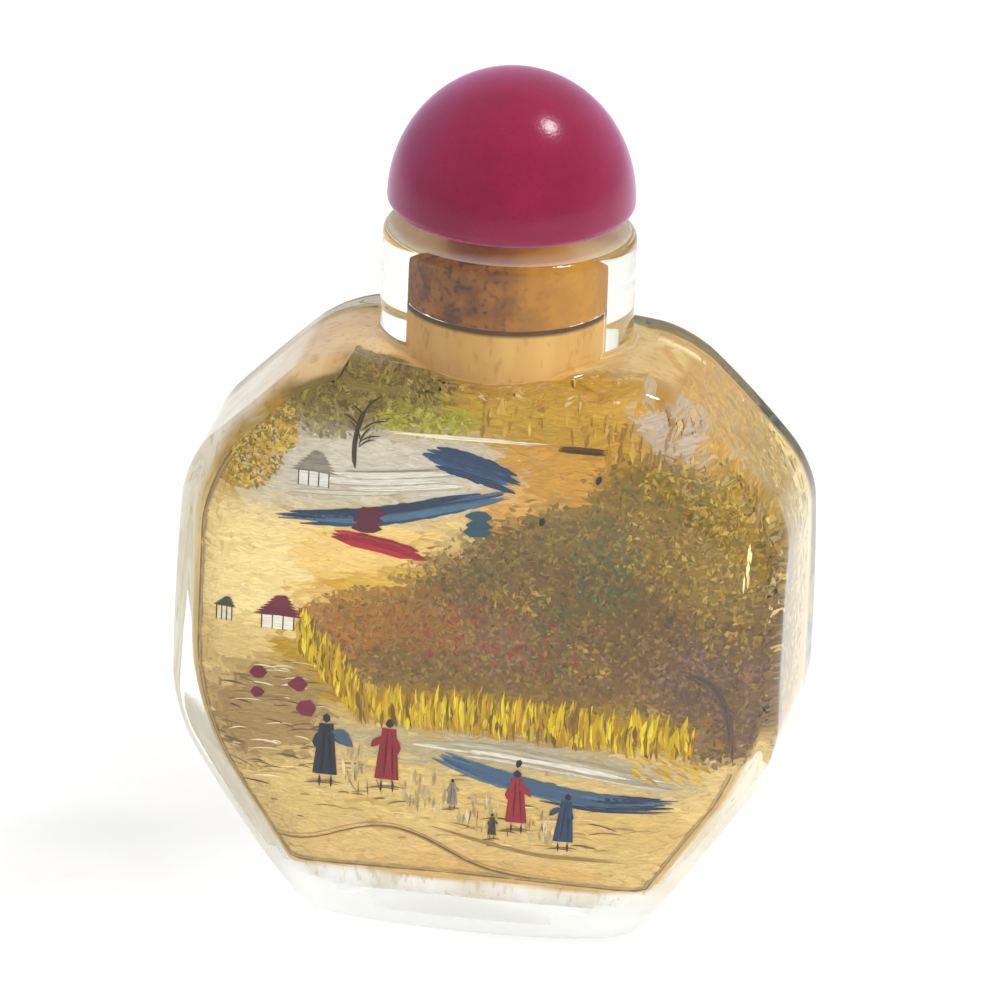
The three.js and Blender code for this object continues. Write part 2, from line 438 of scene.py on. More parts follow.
dome = {
    "radius": 10.5, "rest": 7, "widestAt": 1.6, "height": 12.8, "base": 61.3,
    "across": 64, "around": 160, "pitDepth": 0.02, "pitStrength": 0.6,
    "stone": {"Base": "7c0c2a", "Cloud": "861136", "Speck": "640825",
              "Cloud Size": 5.0, "Speck Size": 0.3, "Speck Amount": 0.3},
    "shine": {"Roughness": 0.2, "Specular IOR Level": 0.35, "Subsurface Weight": 0.25,
              "Subsurface Radius": (1.0, 0.12, 0.2), "Subsurface Scale": 0.003,
              "Sheen Weight": 0.45, "Sheen Tint": (0.75, 0.3, 0.85, 1)},
}
cork = {
    "radius": 5.42, "top": 61.3, "bottom": 53.0, "chamfer": 0.5, "around": 128,
    "dentDepth": 0.06, "dentHeight": 0.9, "pitDepth": 0.12,
    "bark": {"Base": "a2620c", "Cloud": "6c3c0a", "Speck": "3a1f08",
             "Cloud Size": 1.8, "Speck Size": 0.45, "Speck Amount": 0.7},
    "amber": "dc9c1e", "amberAmount": 0.6, "amberReach": 5,
}


def makeRuby():
    # ruby stone or glass: crimson with a pinker cloud, fine pits, and a soft violet bloom at its rim
    material, tree, shader = newMaterial("rubyDome")
    stone = placeMottle(tree, objectSpace(tree), dome["stone"])
    setInputs(tree, shader, {"Base Color": stone["Color"], **dome["shine"]})
    addBump(tree, stone["Height"], shader, dome["pitDepth"], dome["pitStrength"])
    return material


def makeCork():
    # Amber-brown cork: lighter and darker clouds, and dark pits that are also hollows. It turns to
    # amber towards the right, where light comes through the neck.
    material, tree, shader = newMaterial("amberCork")
    where = objectSpace(tree)
    bark = placeMottle(tree, where, cork["bark"])
    across = addNode(tree, "SeparateXYZ", {0: where}).outputs["X"]
    share = addNode(tree, "MapRange", {
        "Value": across, "From Min": 0.0, "From Max": cork["amberReach"] * 0.001,
        "To Max": cork["amberAmount"]})
    amber = (*linear(cork["amber"]), 1)
    colour = addNode(tree, "Mix", {"Factor": share.outputs[0], "A": bark["Color"], "B": amber},
                     data_type="RGBA")
    setInputs(tree, shader, {"Base Color": colour.outputs["Result"], "Roughness": 0.8})
    addBump(tree, bark["Height"], shader, cork["pitDepth"])
    return material


def domeRings():
    # a flat rest, a quarter ellipse out to the widest level, then half an ellipse up to the top
    radius, rest, widestAt, base = (dome[key] for key in ("radius", "rest", "widestAt", "base"))
    turn = np.linspace(0, math.pi / 2, 14, endpoint=False)
    rise = np.linspace(0, math.pi / 2, dome["across"], endpoint=False)
    flat = np.linspace(0.5, rest, 6, endpoint=False)
    reach = np.concatenate([flat, rest + (radius - rest) * np.sin(turn), radius * np.cos(rise)])
    level = np.concatenate([flat * 0, widestAt * (1 - np.cos(turn)),
                            widestAt + (dome["height"] - widestAt) * np.sin(rise)])
    return circleRings(reach, base + level, dome["around"])


def corkRings():
    # a plug pressed into the bore: straight sides, a broken lower edge and shallow dents above it
    radius, top, bottom, chamfer = (cork[key] for key in ("radius", "top", "bottom", "chamfer"))
    z = np.concatenate([np.full(5, bottom), np.linspace(bottom, bottom + chamfer, 4)[1:],
                        np.linspace(bottom + chamfer, top, 26)[1:], np.full(4, top)])
    end = radius - chamfer
    reach = np.concatenate([np.linspace(1, end, 5), np.linspace(end, radius, 4)[1:],
                            np.full(25, radius), np.linspace(radius, 1, 5)[1:]])
    around, z, reach = ringTurns(cork["around"])[None, :], z[:, None], reach[:, None]
    dents = np.sin(around * 7 + z * 1.9) * np.sin(around * 11 - z * 3.1 + 1) * cork["dentDepth"]
    reach = reach - fade(z, bottom + cork["dentHeight"], bottom) * abs(dents)
    return np.stack(np.broadcast_arrays(reach * np.cos(around), reach * np.sin(around), z), -1)


domePiece = closedSkin("ruby_dome", domeRings(), makeRuby())
domePiece.data.vertices[-1].co.z = (dome["base"] + dome["height"]) * 0.001
corkPiece = closedSkin("amber_cork", corkRings(), makeCork())
print("stopper:", len(domePiece.data.polygons) + len(corkPiece.data.polygons), "faces")


# the coat of paint on the hollow's wall

coat = {
    "lift": 0.02, "depth": 0.06, "lowEdge": 5.0, "lowWave": 0.12, "boreEnd": 53.44,
    "ground": "dfbe7a", "backGround": "dfc07e",
    "side": "f9f2de", "shoulder": "f2cc94", "bore": "e0b263", "shade": "5a3c16", "floor": "fdfbf6",
    # corner: a painted highlight, a cream line along the hollow's rear right corner where light is
    # caught through the edge
    "corner": "f3e5b0", "cornerHighlightSpread": 0.022, "cornerHighlightAmount": 0.9, "lowFade": 0.15,
    # where one colour passes into the next: shares of a quarter turn, distances from the axis, heights
    "sideBand": (0.27, 0.18), "boreBand": (6.6, 5.8), "shoulderBand": (42, 46),
    "lowSideBand": (19, 17), "shadeBand": (52.9, 53.05), "cornerHighlightBand": (24, 32),
    "stretch": (1, 1, 0.35), "fleckDepth": 0.03,
    "flecks": {"Base": "ffffff", "Cloud": "ece4d4", "Speck": "cbb692",
               "Cloud Size": 3.0, "Speck Size": 0.6, "Speck Amount": 0.5},
}
paintFinish = {"Roughness": 0.6, "Specular IOR Level": 0.1}


def makePaintCoat():
    # the ground coat: the broad areas' colours, lighter and darker in clouds and flecks
    material, tree, shader = newMaterial("paintGroundCoat")
    stretch = addNode(tree, "Mapping", {"Vector": objectSpace(tree), "Scale": coat["stretch"]})
    flecks = placeMottle(tree, stretch.outputs[0], coat["flecks"])
    tint = addNode(tree, "VertexColor", {}, layer_name="paint")
    product = addNode(tree, "Mix", {"Factor": 1, "A": tint.outputs["Color"], "B": flecks["Color"]},
                      data_type="RGBA", blend_type="MULTIPLY")
    setInputs(tree, shader, {"Base Color": product.outputs["Result"], **paintFinish})
    addBump(tree, flecks["Height"], shader, coat["fleckDepth"])
    return material


def coatGrid(grow):
    # from the middle of the floor out, up the wall, along the ceiling and up the bore to the cork
    top = bottle["bodyHeight"] - bottle["crownWall"]
    levels = hollowLevels(bottle["floorWall"] - grow, top, 6)
    walls = sectionRings(levels, 1, bottle["boreRadius"] + bottle["boreRound"], grow)
    walls[-8:, :, 2] += grow
    inwards = np.linspace(0.04, 0.97, 12)
    floor = walls[0] * np.stack([inwards, inwards, np.ones(12)], -1)[:, None, :]
    ceiling = hollowCeiling(top + grow, walls[-1], grow)[::-1][:-1]
    boreLevels = np.linspace(top + bottle["boreRound"], coat["boreEnd"], 16)
    bore = circleRings(np.full(16, bottle["boreRadius"] + grow), boreLevels)
    return np.concatenate([floor, walls, ceiling, bore])


def mixed(first, second, share):
    share = np.reshape(share, (-1, 1))
    return np.asarray(first) * (1 - share) + np.asarray(second) * share


def addCoat():
    # A thin closed shell whose outer side lies a little way into the glass, so no air shows between.
    # Each point takes the colour of the broad area it lies in. The front picture runs on over the
    # ceiling and the right side; the left side is a pale wash, and the floor is left nearly white.
    loops = np.concatenate([coatGrid(coat["lift"]), coatGrid(coat["lift"] - coat["depth"])[::-1]])
    x, y, z = loops.reshape(-1, 3).T
    quarter, right = np.tile(quarterShares(), len(loops)), x > 0
    onSide, onCeiling = quarter < bottle["sideShare"], (z > 46) & (abs(x) < 14)
    over = np.maximum(7.5 - abs(y), 0) * onCeiling
    past = (abs(y).max() * 0.72 + y) * onSide * right
    front = softColour(np.stack([x + past, z + over], -1), frontAreas, coat["ground"], 0.5)
    back = softColour(np.stack([-x, z + over], -1), backAreas, coat["backGround"], 0.5)
    side = mixed(linear(coat["side"]), linear(coat["shoulder"]), fade(z, *coat["shoulderBand"]))
    sideness = fade(quarter, *coat["sideBand"])
    tint = mixed(np.where(y[:, None] < 0, front, back), side, sideness)
    isFront = right & (z > coat["lowSideBand"][1]) & (onSide | (y < 0))
    tint = np.where(isFront[:, None], front, tint)
    # painted highlight: cream along the hollow's rear right corner, standing for light caught through
    # the glass edge
    fromHighlightCorner = (quarter - bottle["sideShare"]) / coat["cornerHighlightSpread"]
    corner = np.exp(-fromHighlightCorner ** 2) * right * (y > 0)
    edge = coat["lowEdge"] + coat["lowWave"] * np.sin(x * 0.5)
    for name, share in (
        ("side", fade(z, *coat["lowSideBand"]) * right * sideness),
        ("bore", fade(np.hypot(x, y), *coat["boreBand"]) * (z > 30)),
        ("shade", fade(z, *coat["shadeBand"])),
        ("corner", corner * fade(z, *coat["cornerHighlightBand"]) * coat["cornerHighlightAmount"]),
        ("floor", fade(z, edge + coat["lowFade"], edge - coat["lowFade"])),
    ):
        tint = mixed(tint, linear(coat[name]), share)
    return closedSkin("paint_ground_coat", loops, makePaintCoat(), tint)


# brush strokes on the hollow's walls

picture = {
    "low": 5.1, "high": 47.6, "margin": 0.4, "edgeLift": 0.3, "overTop": 0.68,
    "spanX": (-24, 36), "spanZ": (4.6, 50),
    "wrap": 13, "wrapFrom": 17.3, "wrapSpots": (17.5, 47),  # the front runs on round its right corner
    "wash": 1700, "fineWash": 2600, "hillDabs": 12000, "leafDabs": 1500, "reeds": 1150,
    "groundLines": 260, "dryLines": 90, "jitter": 0.035,
    "hairStretch": (0.8, 6, 1), "hairDark": 0.8, "hairLight": 1.18,
}
random = np.random.default_rng(41)


def makeBrushPaint():
    # Each stroke's own colour, with streaks along the stroke as the hairs of a brush leave them.
    material, tree, shader = newMaterial("brushPaint")
    tint = addNode(tree, "VertexColor", {}, layer_name="paint")
    along = addNode(tree, "UVMap", {}, uv_map="stroke")
    stretch = addNode(tree, "Mapping", {"Vector": along.outputs[0], "Scale": picture["hairStretch"]})
    hairs = addNode(tree, "TexNoise", {"Vector": stretch.outputs[0], "Scale": 1.0, "Detail": 3})
    level = addNode(tree, "MapRange", {
        "Value": hairs.outputs["Fac"], "From Min": 0.3, "From Max": 0.7,
        "To Min": picture["hairDark"], "To Max": picture["hairLight"]})
    lit = addNode(tree, "VectorMath", {0: tint.outputs["Color"], "Scale": level.outputs[0]},
                  operation="SCALE")
    setInputs(tree, shader, {"Base Color": lit.outputs[0], **paintFinish})
    return material


brushPaint = makeBrushPaint()


def newCanvas():
    return {"points": [], "faces": [], "uv": [], "tint": [], "count": 0}


def onWall(x, z, lift, side):
    # A point of the picture on the hollow's wall. Lift grows towards the rounded edges, where a
    # straight ribbon would sink in. Past the wall's top the picture runs on over the rounding and
    # along the ceiling, and past its right edge round the corner and along the side. Each exp()
    # eases the change of direction over a fraction of a millimetre.
    z = np.maximum(z, picture["low"])
    over = np.maximum(z - picture["high"], 0)
    z = np.minimum(z, picture["high"])
    reach = halfWidth(z, 1) - picture["margin"]
    past = np.clip(x - reach, 0, picture["wrap"]) * (side < 0) * (z > picture["wrapFrom"])
    x = np.clip(x, -reach, reach)
    near = np.minimum(nearEdge(x, z, 1), 1)
    y = pillow(x, z, 1) + lift + picture["edgeLift"] * near ** 3
    y = y - over * (1 - np.exp(-over / 0.5)) - past * (1 - np.exp(-past / 0.5))
    x = x + np.sign(x) * (picture["margin"] + 0.05 + lift) * (1 - np.exp(-past / 0.2))
    z = z + picture["overTop"] * (1 - np.exp(-over / 0.35))
    return np.stack([x, side * y, z], -1)


def brush(canvas, paths, width, tint, lift, side=-1, taper=0.5, rough=0.12):
    # Ribbons that lie on the wall. paths: (n, k, 2) centre lines in the front view; width and tint:
    # one for each stroke, or one for all; lift: mm into the glass; taper: 0 blunt, 1 pointed.
    paths = np.asarray(paths, float)
    n, k = paths.shape[:2]
    share = np.linspace(0, 1, k)
    profile = (1 - abs(2 * share - 1) ** 2.5) ** max(taper, 0.01) if taper else np.ones(k)
    profile = np.maximum(profile, 0.12) * (1 + rough * random.normal(size=(n, k)))
    width = np.reshape(np.broadcast_to(width, n), (n, 1)) * profile
    tangent = np.gradient(paths, axis=1)
    tangent /= np.maximum(np.linalg.norm(tangent, axis=-1, keepdims=True), 1e-9)
    across = np.stack([-tangent[..., 1], tangent[..., 0]], -1) * width[..., None] / 2
    edges = np.stack([paths - across, paths + across], 2)
    lift = lift + 0.004 * random.random((n, 1, 1))  # no two strokes lie in the same plane
    points = onWall(edges[..., 0], edges[..., 1], lift, side).reshape(-1, 3)
    start = (np.arange(n) * k * 2)[:, None] + np.arange(k - 1) * 2
    order = [0, 2, 3, 1] if side < 0 else [1, 3, 2, 0]
    faces = (start[..., None] + np.array(order)).reshape(-1, 4) + canvas["count"]
    length = np.linalg.norm(np.diff(paths, axis=1), axis=-1).sum(1)
    u = random.random((n, 1)) * 90 + share * length[:, None]
    v = np.broadcast_to(random.random((n, 1)) * 90, (n, k))
    uv = np.stack([np.stack([u, v], -1), np.stack([u, v + width], -1)], 2)
    tint = np.broadcast_to(np.reshape(tint, (-1, 3)), (n, 3))
    canvas["points"].append(points)
    canvas["faces"].append(faces)
    canvas["uv"].append(uv.reshape(-1, 2))
    canvas["tint"].append(np.repeat(tint, k * 2, axis=0))
    canvas["count"] += len(points)


def dry(canvas, name):
    # the finished strokes as one piece
    keys = "points", "faces", "uv", "tint"
    points, faces, uv, tint = (np.concatenate(canvas[key]) for key in keys)
    piece = addMesh(name, points, faces, brushPaint, uv, np.clip(tint, 0, 1))
    print(name + ":", len(faces), "faces")
    finishes[piece] = "bottle_glass"


def lines(centres, length, angle, bend=0.0, steps=5):
    # bent lines about their centres: a straight run at an angle plus a shallow arc to one side
    centres = np.asarray(centres, float)
    n = len(centres)
    length, angle, bend = (np.broadcast_to(v, n)[:, None] for v in (length, angle, bend))
    share = np.linspace(-0.5, 0.5, steps)[None, :]
    along, off = length * share, bend * length * (0.25 - share ** 2) * 4
    x = centres[:, :1] + along * np.cos(angle) - off * np.sin(angle)
    z = centres[:, 1:] + along * np.sin(angle) + off * np.cos(angle)
    return np.stack([x, z], -1)


def between(stops, share):
    # points part of the way along a course of evenly counted stops
    stops = np.array(stops, float)
    at = np.linspace(0, 1, len(stops))
    return np.stack([np.interp(share, at, stops[:, i]) for i in (0, 1)], -1)


def sweep(stops, count, spread, steps, cut, passes=24):
    # Many strokes that run together along one smooth course through a few stops, each a little
    # beside it; cut: the largest share that a stroke's start is left out by.
    first = random.random((count, 1)) * cut
    course = between(stops, first + (1 - cut) * np.linspace(0, 1, steps)[None, :])
    for _ in range(passes):
        course[:, 1:-1] = (course[:, :-2] + course[:, 1:-1] * 2 + course[:, 2:]) / 4
    return course + random.normal(size=(count, 1, 2)) * np.array([spread * 0.4, spread])


def varied(tints, amount):
    # each colour a little lighter or darker
    return tints * (1 + amount * picture["jitter"] * random.normal(size=(len(tints), 1)))


def shade(codes, count):
    # a random choice from a few colours
    colours = np.array([linear(code) for code in codes.split()])
    return varied(colours[random.integers(0, len(colours), count)], 2)


def inBlot(points, blot):
    # inside a soft-edged oval: centre, half width, half height, tilt in degrees
    x, z, halfW, halfH, tilt = blot[:5]
    turn = math.radians(tilt)
    dx, dz = points[:, 0] - x, points[:, 1] - z
    u, v = dx * math.cos(turn) + dz * math.sin(turn), dz * math.cos(turn) - dx * math.sin(turn)
    edge = 1 + 0.16 * random.normal(size=len(points))
    return abs(u / halfW) ** 2.6 + abs(v / halfH) ** 2.6 < edge


def onPicture(points, side):
    x, z = points.T
    low, high = picture["wrapSpots"]
    reach = halfWidth(np.minimum(z, picture["high"]), 1) + picture["wrap"] - 1
    wraps = (side < 0) & (x > 0) & (x < reach) & (z > low) & (z < high)
    return (nearEdge(x, np.minimum(z, picture["high"] - 0.3), 1) < 1) | wraps


def spots(count, side):
    # random places on the picture, away from its outline
    spans = picture["spanX"], picture["spanZ"]
    points = np.stack([random.uniform(*span, count * 2) for span in spans], -1)
    return points[onPicture(points, side)][:count]


def spotsIn(blot, count, side=-1):
    points = np.array(blot[:2]) + random.uniform(-1, 1, (count * 3, 2)) * max(blot[2:4]) * 1.1
    points = points[inBlot(points, blot)]
    return points[onPicture(points, side)][:count]


def broadColour(points, areas, ground):
    colour = np.tile(linear(ground), (len(points), 1))
    for area in areas:
        colour[inBlot(points, area)] = linear(area[5])
    return colour


def softColour(points, areas, ground, reach, places=6):
    # the mean colour of a few places close by, so one area passes softly into the next
    near = [points + random.normal(size=points.shape) * reach for _ in range(places)]
    return sum(broadColour(place, areas, ground) for place in near) / places


# Broad areas, from the farthest to the nearest: x, z, half width, half height, tilt, colour.
farAreas = [
    (2, 47.5, 24, 4.6, 0, "b8903a"), (14, 46.6, 9, 3, -8, "bc9036"), (-12, 47, 9.5, 3.6, 8, "85703a"),
    (27, 41, 13, 7, 0, "c2964a"), (30, 31, 9, 12, 0, "ae8e42"), (36, 30, 5, 14, 0, "d9c07c"),
    (15.5, 45.7, 3.6, 1.6, -35, "b3a08a"), (-4.5, 45.6, 4, 1.3, 4, "a89c35"),
    (-19.5, 41.5, 2.6, 4.6, -28, "c09a40"), (-9, 40.8, 11.5, 3.6, 3, "cfc3ae"),
    (-13, 37.2, 8, 1.4, 4, "cfbf9c"), (7.5, 41.8, 6, 2.7, -6, "c8923a"),
    (2.8, 37.6, 3.4, 3, 0, "d8a352"), (-12, 31.8, 12, 4.6, 0, "f4cc78"),
    (-19.5, 31.5, 4, 5.2, 0, "f8dc96"), (-8, 31.2, 6, 0.9, 8, "d09c24"),
]
treeAreas = [
    (13, 30.5, 15.5, 8.6, 0, "6f552c"), (16.5, 38.5, 7.5, 4.6, -20, "8c6e26"),
    (1.5, 29, 9, 5.8, 6, "77592c"), (-7, 26.4, 7, 4, -6, "ab702c"), (3, 23.4, 13, 2.4, -1, "7d6130"),
    (21, 23, 5, 5.5, 0, "6f5540"), (11, 34.5, 2.4, 4, 0, "55552f"), (6.5, 28, 2, 3.2, 10, "5a542c"),
    (20, 35, 4, 4, 0, "8e7228"), (1, 33.2, 3.6, 2, 30, "6e5e30"), (8, 37, 4.5, 2.2, 10, "7a6a30"),
    (3, 27, 3, 2.2, 0, "8a6246"),
]
nearAreas = [
    (-8.5, 31.3, 5, 0.8, 10, "dcae3c"), (-13.5, 22.8, 4.2, 1.5, -32, "b8900c"),
    (4.5, 20, 16, 1.9, -1, "b0840c"), (-17.5, 18.4, 4.6, 4.6, 0, "a98852"),
    (-4, 16.4, 9, 1.4, -4, "bdaa7c"), (9, 16.5, 11, 1.3, -6, "b9ab8a"), (-6, 12.4, 12, 3, 0, "e0bf76"),
    (9, 11, 10, 2.4, 0, "dcb96e"), (-6.5, 7.2, 8.5, 2.2, 0, "e3bf7a"), (3, 5.8, 9, 1.2, 0, "dcb268"),
]
frontAreas = farAreas + treeAreas + nearAreas
# The back is plainer: hills over water, a bank of reeds and one tree, in the same colours.
backAreas = [
    (0, 45, 24, 4.5, 0, "cfa95a"), (-12, 40, 9, 4.5, 10, "d9cdb4"), (12, 35, 12, 7, 6, "a48c52"),
    (-8, 30.5, 11, 4.5, -4, "ad8650"), (2, 25.5, 20, 2.4, 0, "d9b452"), (0, 20, 21, 3, 0, "5c7f9c"),
    (3, 19.5, 15, 1.1, 2, "d5d6d0"), (-8, 12.5, 13, 3.4, 0, "e0c384"), (6, 8.6, 12, 3.6, 0, "cda552"),
]
hillColours = "66562a 84682f 70552f 59522c 8c6c32 7c5030 9a7a3c 75613f 94642c a58a3c 4a3a24"
leafColours = "6a5628 86743a 54462a 968540 a89c3c"
reedColours = "dcb414 cda00c b5860a 8a680c e6cc28 77581a c8aa10 a88620"

# Dabs of the hill and the trees: ovals, how many dabs, their colours, lift and sizes, whether each
# takes on some of its place's colour, and how upright they are.
frontDabs = [
    (treeAreas, picture["hillDabs"], hillColours, 0.055, (0.25, 0.75), True, 0),
    ([(11, 34.5, 3, 4.4, 0), (6.5, 28, 2.4, 3.6, 0), (16, 41.3, 4, 1.8, 0)],
     300, "4f5a40 66704a 59603a", 0.062, (0.3, 0.7), True, 0),
    ([(17.5, 38, 5.5, 5.5, -20), (21, 31, 3, 5, 0), (4, 31, 2.4, 1.6, 0), (10, 26, 2.6, 1.4, 0)],
     620, "c09a30 a8862c 8a7428 d0b050", 0.058, (0.25, 0.7), True, 0),
    ([(12, 24.5, 6, 2, 0), (2, 26, 3, 2, 0), (17, 27, 3, 3, 0), (-2, 29.5, 2, 1.2, 0)],
     460, "7a5a58 8f6c58 a88260 5f4a4a", 0.058, (0.25, 0.7), True, 0),
    ([(2, 49, 13, 1.5, 0)], 300, "c98a5a ecd09a a8702c dcb468", 0.058, (0.5, 1.6), True, 0),
    ([(-4.5, 26, 2, 1, 0), (7, 25.5, 2, 1.6, 0), (3, 27, 8, 3, 0)],
     90, "8c3f33 9c4a3a", 0.064, (0.3, 0.8), False, 0),
    ([(-12, 47, 9, 3.2, 8)], picture["leafDabs"], leafColours, 0.055, (0.3, 0.8), True, 0),
    ([(-19, 42, 2.4, 4, -28)], picture["leafDabs"] // 3,
     "c8a044 a8863c 8a7030 dcba5e", 0.055, (0.3, 0.8), False, 0),
    ([(-4.5, 45.6, 3.8, 1.1, 4)], 120, "a8a238 8f8a2e b7ab4a", 0.06, (0.4, 0.9), False, 0),
    ([(21, 23, 4, 4.6, 0)], 320, "6b4f48 594440 8a6f5c", 0.06, (0.3, 0.8), True, 0),
    ([(30, 31, 6, 11, 0)], 500, "9a7c3c b0913f 86703a c9ad62", 0.055, (0.4, 1.2), False, 0),
    ([(25, 41, 8, 5, 0)],
     420, "b38a42 c49c50 9d7c3c a99a72 8d8468", 0.055, (0.4, 1.2), True, 0),
    ([(5, 46.4, 8, 1.5, 0), (13, 45, 6, 1.6, 0)],
     130, "8a5f22 a87a2e 7a5520 d2aa58", 0.06, (0.8, 2.0), True, 0.9),
]

# Courses of strokes that run together: stops, how many, spread, width or the range of a random
# choice, colours, lift, and where they aren't the usual ones, cut, taper and steps.
waterCourses = [
    # the river and the white path beside it
    ([(-5, 17), (2, 16.9), (9, 16.2), (18, 15.2)], 36, 0.32, (0.2, 0.5),
     "c6baa0 b2a588 e2dac8", 0.086, 0.4),
    ([(-3, 16.3), (1, 14.9), (6, 13.9), (11, 13.2), (18, 13.7)], 40, 0.3, (0.3, 0.75),
     "34506e 425f7a 283c54 566f86", 0.092, 0.35, 0.7),
    ([(6, 13), (11, 12.5), (17.5, 12.9)], 9, 0.12, 0.1, "22384f 2b2f3a", 0.099, 0.3),
    # blue and white sweeps high on the left
    ([(-18, 36.0), (-9, 36.9), (-3, 38.6), (3, 40.4)], 30, 0.34, (0.3, 0.7),
     "2f4a66 3d5a78 4e6c84 28374c", 0.088, 0.3, 0.7),
    ([(-5, 43.1), (-1, 42.4), (3.6, 41)], 16, 0.32, (0.35, 0.8),
     "2c415c 3a5674", 0.092, 0.2, 0.7),
    ([(-17, 39.2), (-9, 39.8), (-1, 41)], 22, 0.5, (0.12, 0.3),
     "e6dfcf b1a58d d8cfba 8f8168", 0.09, 0.4),
    ([(-10, 44.4), (0, 44.7), (7, 44.8)], 6, 0.12, (0.07, 0.16),
     "efe6cc e8d8b0", 0.092, 0.4),
    ([(6.5, 44.5), (10.5, 44.4)], 5, 0.12, 0.22, "4b3a28 5d4a32", 0.096, 0, 0.5, 6),
]
trunkCourse = ([(18, 25.6), (20.5, 24.6), (22, 21.5), (22, 17.4)], 12, 0.25, (0.2, 0.55),
               "5a443c 6a5248 4a3632", 0.098, 0.2, 0.6)
duneCourses = [
    ([(-17, 7.3), (-13.5, 7.1), (-10, 8.8), (-6.5, 9.5), (-3, 8.4), (0, 6.7), (3, 5.9), (8, 5.6)],
     4, 0.2, 0.09, "86683e 9c7a4a b08e58", 0.094, 0, 0.5, 60),
    ([(-4, 9.9), (1, 8.9), (6, 8.0), (14, 8.1)], 5, 0.2, 0.1, "8f6c3c a5824a", 0.094, 0.2, 0.5, 40),
]
redCourse = ([(-12.5, 35.2), (-8, 34.9), (-4.2, 33.8)], 16, 0.26, 0.5,
             "b3242f c42e34 8f1f2c", 0.124, 0.3, 0.15, 8)
stalls = [(-3.4, 12.8, 2.4, 1.5, 0), (1, 11.2, 1.8, 1.5, 0), (6.3, 10.2, 1.3, 1.5, 0),
          (-9.8, 14.4, 1.2, 1.8, 0)]
roofs = [  # x, z, width, the roof's and the wall's colour
    (-16.8, 27.2, 3.8, "6e2433", "efe6d2"), (-21.4, 27.4, 1.8, "4b4a30", "e5d6b4"),
    (-14.2, 40.2, 3.6, "8b8172", "e2ddd2"),
]
figures = [  # x, z, height, the robe's colour and its folds', lean, the side the arm reaches to
    (-12.3, 12.8, 6.2, "27303a", "11161c", 0.0, 1), (-7, 12.9, 6.2, "8f1f2a", "5b121b", 0.02, -1),
    (-1.3, 11.6, 2.6, "8f8676", "5a5348", 0.0, 1), (4.2, 10.2, 5.4, "9c2530", "641520", 0.0, 1),
    (8.2, 8.9, 5.0, "2b4460", "182a3e", 0.08, -1), (2.2, 9.2, 2.2, "4c4238", "2c2620", 0.0, 1),
]


def paintGround(canvas, side, areas, ground, count, fineCount):
    # two coats of level strokes, each in the colour of the broad area that it lies in
    coats = [  # count, lengths, unevenness, bend, steps, the colour's reach and jitter, widths, lift
        (count, (2.4, 6), 0.07, 0.04, 5, 0.7, 1, (0.7, 1.5), 0.03),
        (fineCount, (1.0, 2.4), 0.14, 0.06, 4, 0.4, 1.5, (0.3, 0.75), 0.04),
    ]
    for many, lengths, uneven, bend, steps, reach, jitter, widths, lift in coats:
        at = spots(many, side)
        length = random.uniform(*lengths, len(at))
        paths = lines(at, length, random.normal(size=len(at)) * uneven, bend, steps)
        tints = varied(softColour(at, areas, ground, reach), jitter)
        brush(canvas, paths, random.uniform(*widths, len(at)), tints, lift, side)


def paintDabs(canvas, side, blots, count, colours, lift, size, areas=None, upright=0.0):
    # short dabs inside a few ovals; with areas given, each takes on some of the colour of its place
    total = sum(blot[2] * blot[3] for blot in blots)
    level = 1 - upright
    for blot in blots:
        at = spotsIn(blot, int(count * blot[2] * blot[3] / total), side)
        length = random.uniform(*size, len(at))
        angle = random.uniform(0, math.pi, len(at)) * level + math.pi / 2 * upright
        tints = shade(colours, len(at))
        if areas:
            tints = tints * 0.6 + softColour(at, areas, coat["ground"], 1.2) * 0.4
        width = length * random.uniform(0.35, 0.7, len(at)) * (1 - 0.6 * upright)
        brush(canvas, lines(at, length, angle, 0.1 * level, 3), width, tints, lift, side, 0.5 * level)


def paintCourse(canvas, stops, count, spread, width, colours, lift, cut=0.0, taper=0.5, steps=24):
    paths = sweep(stops, count, spread, steps, cut)
    width = random.uniform(*width, count) if isinstance(width, tuple) else width
    brush(canvas, paths, width, shade(colours, count), lift, taper=taper)


def paintReeds(canvas, side, course, count):
    # upright strokes with their feet on a course, most of them bright yellow
    foot = between(course, random.random(count))
    height = random.uniform(0.9, 2.6, count)
    foot[:, 1] += random.uniform(-0.5, 1.9, count) + height / 2
    reeds = lines(foot, height, math.pi / 2 + random.normal(size=count) * 0.09, 0.05, 4)
    width = random.uniform(0.12, 0.4, count)
    brush(canvas, reeds, width, shade(reedColours, count), 0.085, side, 0.12)


